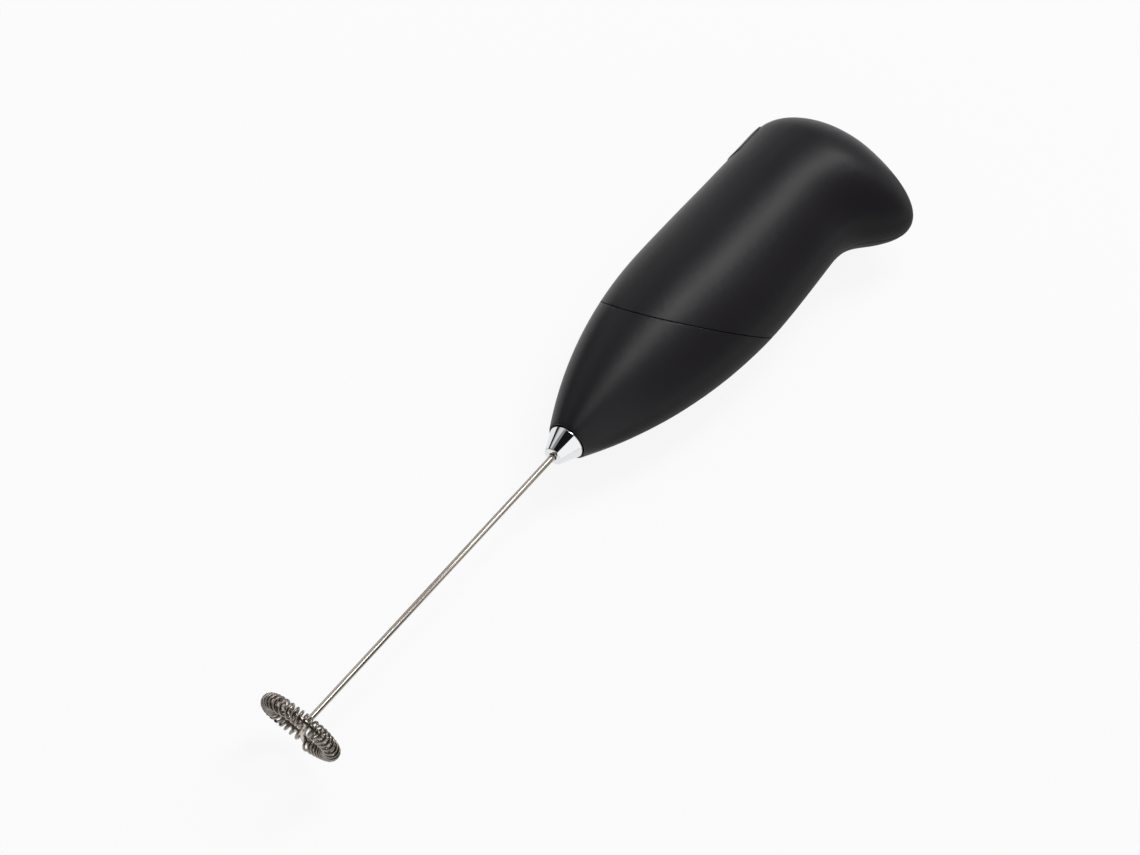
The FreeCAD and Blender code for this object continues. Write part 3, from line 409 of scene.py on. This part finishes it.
def return_spring():
    """The wire spring under the button; the real one shortens as the button goes in, but this one
    is built at one length and fixed to the handle.
    """
    low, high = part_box("button_spring")
    middle = (low + high) / 2
    radius = (high.x - low.x) / 2 - SPRING_WIRE * MM
    start, end = low.y + SPRING_WIRE * MM, high.y - SPRING_WIRE * MM
    count = SPRING_TURNS * SPRING_STEPS
    points = []
    for i in range(count + 1):
        winding = 2 * math.pi * i / SPRING_STEPS
        points.append((
            middle.x + radius * math.cos(winding),
            start + (end - start) * i / count,
            middle.z + radius * math.sin(winding),
        ))
    spring = wire("return_spring", points, SPRING_WIRE * MM, SPRING_ROUNDNESS)
    as_piece(spring, "return_spring", FINISHES["contact_nickel"], "handle",
             "button_spring")
    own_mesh(spring)


# ---------------------------------------------------------------- whisk
# Angles round the ring are counted from its foot, towards the belly. Lengths are in
# millimetres.
RING_AT = -103.1
RING_RADIUS = 9.08
RING_LEAN = math.radians(20.5)
RING_SHIFT = 0.4          # the ring sits a little off the rod's line
RING_SLOPE = math.radians(4.0)
RING_STEP = 1.1           # the coil's two ends are bent apart, as on a lock washer
GAP_TURN = 9              # degrees to the middle of the gap between the coil's two ends
GAP_HALF = 5
COIL_FIRST = math.radians(GAP_TURN + GAP_HALF)
COIL_LAST = math.radians(GAP_TURN + 360 - GAP_HALF)
COIL_RADIUS = 1.785       # centre line of the coil's wire
COIL_WIRE = 0.34          # radius of its wire
COIL_TURNS = 38
COIL_STEPS = 14           # points in one turn
COIL_ROUNDNESS = 2
CROWDING = ((0.006, 3, 1.0), (0.003, 7, 0.0))      # share of the ring, waves round it, start
BULGE, BULGE_WAVES, BULGE_START = 0.03, 5, 0.7     # the coil's turns differ a little in size
ROD_RADIUS = 0.75
ROD_ROUNDNESS = 4
ROD_START = 5.4           # the rod's end, inside the coupling
BEND_RADIUS, BEND_STEPS = 2.0, 12
SPOKE_STEPS = 8
ELBOW_EASE = 1.4          # how far before the ring the spoke starts to turn into it
ELBOW_BACK = 0.3          # and how far behind the ring's plane its corner lies
ELBOW_STEPS = 6
CORE_FIRST, CORE_LAST, CORE_STEP = 2 * GAP_TURN, GAP_TURN + 353, 3      # wire inside the coil
# directions from the ring's middle: to its foot, to the belly side, and along its own axis
SPOKE = Vector((math.sin(RING_LEAN), 0, -math.cos(RING_LEAN)))
SIDE = Vector((0, -1, 0))
RISE = Vector((math.cos(RING_LEAN), 0, math.sin(RING_LEAN)))


def outward(turn):
    """The direction from the ring's middle at an angle round it."""
    return SPOKE * math.cos(turn) + SIDE * math.sin(turn)


def ring_point(turn):
    """Centre line of the ring at an angle round it."""
    share = (turn - COIL_FIRST) / (COIL_LAST - COIL_FIRST)
    lift = RING_STEP * (share - 0.5) + RING_RADIUS * math.tan(RING_SLOPE) * math.sin(turn)
    return Vector((RING_AT, RING_SHIFT, 0)) + RING_RADIUS * outward(turn) + RISE * lift


def whisk_spring():
    """The coil: wire wound round the ring, its turns crowding and spreading a little."""
    count = COIL_TURNS * COIL_STEPS
    points = []
    for i in range(count + 1):
        even = i / count
        share = even + sum(
            size * math.sin(2 * math.pi * waves * even + begin) for size, waves, begin in CROWDING)
        share = min(max(share, 0.0), 1.0)
        turn = COIL_FIRST + (COIL_LAST - COIL_FIRST) * share
        winding = 2 * math.pi * i / COIL_STEPS
        reach = COIL_RADIUS * (1 + BULGE * math.sin(BULGE_WAVES * turn + BULGE_START))
        loop = outward(turn) * math.cos(winding) + RISE * math.sin(winding)
        points.append(place(*(ring_point(turn) + reach * loop)))
    return wire("whisk_spring", points, COIL_WIRE * MM, COIL_ROUNDNESS)


def whisk_rod():
    """Straight rod, bent sharply to the spoke, then round the ring inside the coil."""
    middle = Vector((RING_AT, 0, 0))
    spoke = outward(math.radians(GAP_TURN))
    reach = BEND_RADIUS * math.tan((math.pi / 2 + RING_LEAN) / 2)
    toward = (Vector((1, 0, 0)) + spoke).normalized()
    centre = middle + toward * math.hypot(reach, BEND_RADIUS)
    begin, end = middle + Vector((reach, 0, 0)), middle + spoke * reach
    points = [Vector((ROD_START, 0, 0)), begin]
    for i in range(1, BEND_STEPS + 1):
        points.append(centre + (begin - centre).slerp(end - centre, i / BEND_STEPS))
    elbow = middle + spoke * (RING_RADIUS - ELBOW_EASE)
    points += [end.lerp(elbow, i / SPOKE_STEPS) for i in range(1, SPOKE_STEPS + 1)]
    corner = middle + spoke * RING_RADIUS - RISE * ELBOW_BACK
    first = ring_point(math.radians(CORE_FIRST))
    for i in range(1, ELBOW_STEPS):
        share = i / ELBOW_STEPS
        rest = 1 - share
        points.append(elbow * rest ** 2 + corner * 2 * share * rest + first * share ** 2)
    points += [ring_point(math.radians(i)) for i in range(CORE_FIRST, CORE_LAST, CORE_STEP)]
    return wire("whisk_rod", [place(*p) for p in points], ROD_RADIUS * MM, ROD_ROUNDNESS)


# ---------------------------------------------------------------- light, floor and camera
VIEW_WIDE = 262.069       # millimetres across the camera's view, at the object
VIEW_AHEAD = 2.6667       # from the mouth to the middle of the view, towards the head
VIEW_TO_SPINE = 1.6506    # and across the axis
HEAD_ANGLE = math.radians(47.23325)     # the spin axis rises to the right by this in the view
CAMERA_FAR = 8.0          # metres from the object, so that the view is nearly parallel
CAMERA_CLIP = 30.0
CAMERA_SENSOR = 36.0
CAMERA_TILT = math.radians(30)
CAMERA_TO_BELLY = math.radians(3)
LIT_POINT = place(45, 0, 0)             # the middle of the handle, which the lamps look at


def camera():
    """A distant camera on the cover's side, leaning to the whisk and a little to the belly."""
    back = Vector((
        -math.sin(CAMERA_TILT),
        -math.cos(CAMERA_TILT) * math.sin(CAMERA_TO_BELLY),
        math.cos(CAMERA_TILT) * math.cos(CAMERA_TO_BELLY),
    ))
    along = (Vector((1, 0, 0)) - back * back.x).normalized()
    across = along.cross(back)
    right = along * math.cos(HEAD_ANGLE) + across * math.sin(HEAD_ANGLE)
    up = along * math.sin(HEAD_ANGLE) - across * math.cos(HEAD_ANGLE)
    middle = place(0, 0, 0) + (along * VIEW_AHEAD - across * VIEW_TO_SPINE) * MM
    data = bpy.data.cameras.new("camera")
    data.sensor_width = CAMERA_SENSOR
    data.lens = CAMERA_FAR * CAMERA_SENSOR / (VIEW_WIDE * MM)
    data.clip_end = CAMERA_CLIP
    obj = in_scene("camera", data)
    turn = Matrix((right, up, back)).transposed().to_4x4()
    obj.matrix_world = Matrix.Translation(middle + back * CAMERA_FAR) @ turn
    bpy.context.scene.camera = obj


def lamp(name, direction, far, wide, tall, power, along=(1, 0, 0)):
    """A soft box that looks at the handle from a direction, its width lying along a line."""
    data = bpy.data.lights.new(name, "AREA")
    data.shape = "RECTANGLE"
    data.size = wide
    data.size_y = tall
    data.energy = power
    away = Vector(direction).normalized()
    side = Vector(along)
    side = (side - away * side.dot(away)).normalized()
    turn = Matrix((side, away.cross(side), away)).transposed().to_4x4()
    in_scene(name, data).matrix_world = Matrix.Translation(LIT_POINT + away * far) @ turn


def card(name, low, high, depth, color, strength):
    """A card that only reflections see, from the line low to the line high, depth along x, in
    metres from the mouth."""
    alone()
    low, high = Vector(low), Vector(high)
    bpy.ops.mesh.primitive_plane_add(size=1.0)
    obj = bpy.context.object
    obj.name = name
    side = Vector((1, 0, 0))
    up = (high - low).normalized()
    turn = Matrix((side, up, side.cross(up))).transposed().to_4x4()
    size = Matrix.Diagonal((depth, (high - low).length, 1.0, 1.0))
    obj.matrix_world = Matrix.Translation(MOUTH + (low + high) / 2) @ turn @ size
    material, tree = new_material(name)
    glow = add(tree, "ShaderNodeEmission", {"Color": linear(color), "Strength": strength})
    add(tree, "ShaderNodeOutputMaterial", links={"Surface": glow.outputs[0]})
    obj.data.materials.append(material)
    obj.visible_camera = False
    obj.visible_diffuse = False
    obj.visible_shadow = False
    obj.visible_transmission = False


ROOM_STRENGTH = 0.31      # light of the room on the object


def world():
    """A pale room, which the camera sees as plain white."""
    made = bpy.data.worlds.new("studio")
    bpy.context.scene.world = made
    made.use_nodes = True
    tree = made.node_tree
    tree.nodes.clear()
    path = add(tree, "ShaderNodeLightPath")
    room = add(tree, "ShaderNodeBackground",
               {"Color": linear("#f2f3f4"), "Strength": ROOM_STRENGTH})
    white = add(tree, "ShaderNodeBackground", {"Color": linear("#ffffff"), "Strength": 1.0})
    mixed = add(tree, "ShaderNodeMixShader", links={
        0: path.outputs["Is Camera Ray"], 1: room.outputs[0], 2: white.outputs[0],
    })
    add(tree, "ShaderNodeOutputWorld", links={"Surface": mixed.outputs[0]})


FLOOR_SIZE = 6.0
FLOOR_DROP = 0.0002       # metres below the object, so that the two don't share a plane
FLOOR_WHITE = 0.9         # share of plain white that the camera and reflections see in it


def floor():
    """A matt pale floor that keeps the object's shadow and otherwise looks white."""
    alone()
    bpy.ops.mesh.primitive_plane_add(size=FLOOR_SIZE, location=(0, 0, -FLOOR_DROP))
    obj = bpy.context.object
    obj.name = "floor"
    material, tree = new_material("floor_white")
    path = add(tree, "ShaderNodeLightPath")
    matt = add(tree, "ShaderNodeBsdfDiffuse", {"Color": linear("#f4f4f3")})
    glow = add(tree, "ShaderNodeEmission", {"Color": linear("#ffffff"), "Strength": 1.0})
    looked = add(tree, "ShaderNodeMath", {"operation": "MAXIMUM"},
                 {0: path.outputs["Is Camera Ray"], 1: path.outputs["Is Glossy Ray"]})
    seen = add(tree, "ShaderNodeMath", {"operation": "MULTIPLY", 1: FLOOR_WHITE},
               {0: looked.outputs[0]})
    mixed = add(tree, "ShaderNodeMixShader",
                links={0: seen.outputs[0], 1: matt.outputs[0], 2: glow.outputs[0]})
    add(tree, "ShaderNodeOutputMaterial", links={"Surface": mixed.outputs[0]})
    obj.data.materials.append(material)


# ---------------------------------------------------------------- build
housing = satin_black_abs()
chrome = chrome_plate()
rod_steel = drawn_wire("stainless_wire_drawn", "#c4bcb2", 0.26, depth=0.02)
coil_steel = drawn_wire("spring_steel_wire", "#938b83", 0.18, depth=0.05)
button_black = moulded_plastic("abs_black_button", "#171618", 0.36)
FINISHES = {
    "housing_black": housing,
    "nose_chrome": chrome,
    "whisk_steel": rod_steel,
    "coil_steel": coil_steel,
    "motor_steel": rolled_sheet("zinc_plated_steel", "#b9bbbd", 0.32),
    "cap_nylon": moulded_plastic("nylon_white_moulded", "#e2dfd4", 0.5, 1.53),
    "bronze": sintered("bronze_sintered", "#a0743c", "#6d4d28", 1.0, 0.42),
    "ferrite": sintered("ferrite_sintered", "#343335", "#4b4a4c", 0.0, 0.62),
    "lamination": banded("steel_laminations", "#9a9b9d", "#4f4f52", 0.5, 1.0, 0.4),
    "copper": banded("copper_wire_enamelled", "#bb6a35", "#6f3213", 0.25, 1.0, 0.3),
    "contact_nickel": rolled_sheet("nickel_plated_steel", "#cbc8c0", 0.24),
    "contact_bronze": rolled_sheet("phosphor_bronze_stamped", "#b58b4f", 0.3),
    "sleeve_rubber": moulded_plastic("rubber_black_extruded", "#1f1f20", 0.72, 1.52),
    "coupling_acetal": moulded_plastic("acetal_natural_turned", "#e9e7e0", 0.38, 1.48),
    "tray_abs": moulded_plastic("abs_black_tray", "#1b1b1d", 0.42),
    "cell_jacket": cell_film("cell_film_belly", "battery_belly", nub_up=False),
    "button_abs": button_black,
    "lead_red": moulded_plastic("pvc_red_extruded", "#a8241d", 0.36, 1.53),
    "lead_white": moulded_plastic("pvc_white_extruded", "#e6e4de", 0.36, 1.53),
    "lead_black": moulded_plastic("pvc_black_extruded", "#1a1a1b", 0.36, 1.53),
}
for obj in nodes.values():
    for slot in obj.material_slots:
        if slot.material and slot.material.name in FINISHES:
            slot.material = FINISHES[slot.material.name]
for slot in nodes["battery_spine"].material_slots:
    slot.material = cell_film("cell_film_spine", "battery_spine", nub_up=True)

as_piece(whisk_spring(), "whisk_spring", coil_steel, "drive", "whisk_coil")
as_piece(whisk_rod(), "whisk_rod", rod_steel, "drive", "whisk_wire")

as_piece(nose_ferrule(), "nose_ferrule", chrome, "handle", "nose_cone")
SHELL_EASE, BUTTON_EASE = 0.1, 0.3
SHELLS = {"rear_shell": "handle", "front_shell": "handle", "battery_cover": "cover"}
for node, body in SHELLS.items():
    moulding = eased_copy(node, SHELL_EASE)
    as_piece(moulding, node + "_moulding", housing, body, node)
return_spring()
as_piece(eased_copy("power_button", BUTTON_EASE), "power_button_moulding", button_black, "button",
         "power_button")

camera()
world()
floor()
# one long soft box over the handle gives its highlight, and two fills its edge and head
lamp("strip_overhead", direction=(0.40, 0.165, 0.88), far=1.3, wide=1.2, tall=0.32, power=8.6,
     along=(1, -0.3, 0))
lamp("fill_spine", direction=(0.3, 0.9, 0.35), far=1.5, wide=1.6, tall=0.8, power=2.0)
lamp("fill_head", direction=(0.9, -0.1, 0.4), far=1.5, wide=1.7, tall=1.0, power=2.1,
     along=(0, 1, 0))
# cards that draw the dark and light bands in the chrome cone, and the dark lines in the wire
card("card_dark_overhead", low=(-0.0195, -0.0145, 0.078), high=(-0.0145, 0.053, 0.060),
     depth=0.026, color="#202020", strength=0.6)
card("card_dark_spine", low=(0.0, 0.07, -0.0142), high=(0.0, 0.07, 0.003),
     depth=0.11, color="#202020", strength=0.5)
card("card_white_belly", low=(-0.033, -0.0268, 0.144), high=(-0.018, -0.144, 0.004),
     depth=0.09, color="#ffffff", strength=1.1)
# a grey sheet that only reflections see, lying at the floor on the belly side: a painted
# reflection that dims the housing's belly edge
card("card_dark_belly", low=(0.104, -0.16, -0.0138), high=(0.104, -0.014, -0.0138),
     depth=0.2, color="#a0a0a0", strength=1.0)
card("card_dark_rod", low=(-0.062, 0.008, -0.0138), high=(-0.062, 0.022, -0.0138),
     depth=0.1, color="#202020", strength=0.5)
card("card_dark_rod_belly", low=(-0.0485, -0.0199, 0.0017), high=(-0.0485, -0.0153, 0.0129),
     depth=0.073, color="#303030", strength=0.6)
# a dark sheet that only reflections see, above the whisk: a painted reflection that darkens the
# upper faces of the coil
card("card_dark_whisk", low=(-0.15, -0.10, 0.06), high=(-0.15, 0.015, 0.06),
     depth=0.14, color="#262626", strength=0.5)
bpy.context.scene.view_settings.view_transform = "Standard"
